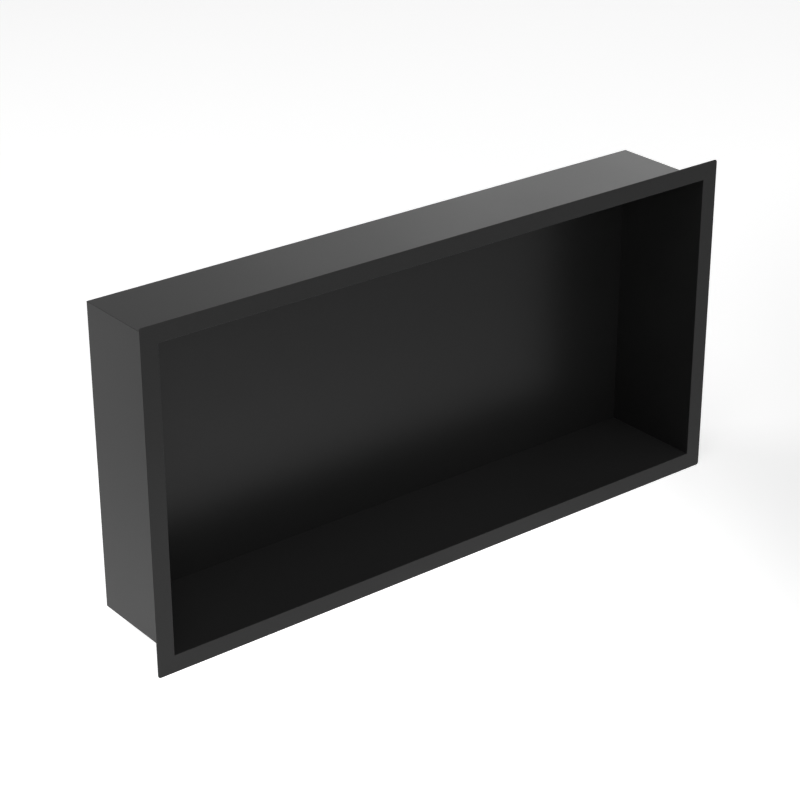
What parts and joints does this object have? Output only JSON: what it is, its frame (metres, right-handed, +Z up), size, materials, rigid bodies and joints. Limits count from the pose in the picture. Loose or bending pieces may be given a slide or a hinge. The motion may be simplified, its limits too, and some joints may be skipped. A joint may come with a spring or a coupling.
{
  "type": "shower niche insert",
  "caption": "Rectangular recessed wall niche for a shower: a shallow folded steel pan, open at the front, with a flat flange round its mouth, satin black coated.",
  "frame": {"origin": "middle of the opening in the plane of the flange's rear face, which lies on the finished wall", "axes": "+X to the right along the niche's length, +Y into the wall, +Z up; the open front faces -Y"},
  "size_m": [0.6064, 0.1016, 0.3048],
  "materials": {
    "black_coat": "satin"
  },
  "bodies": {
    "root": {"niche_insert": "black_coat"}
  },
  "joints": []
}
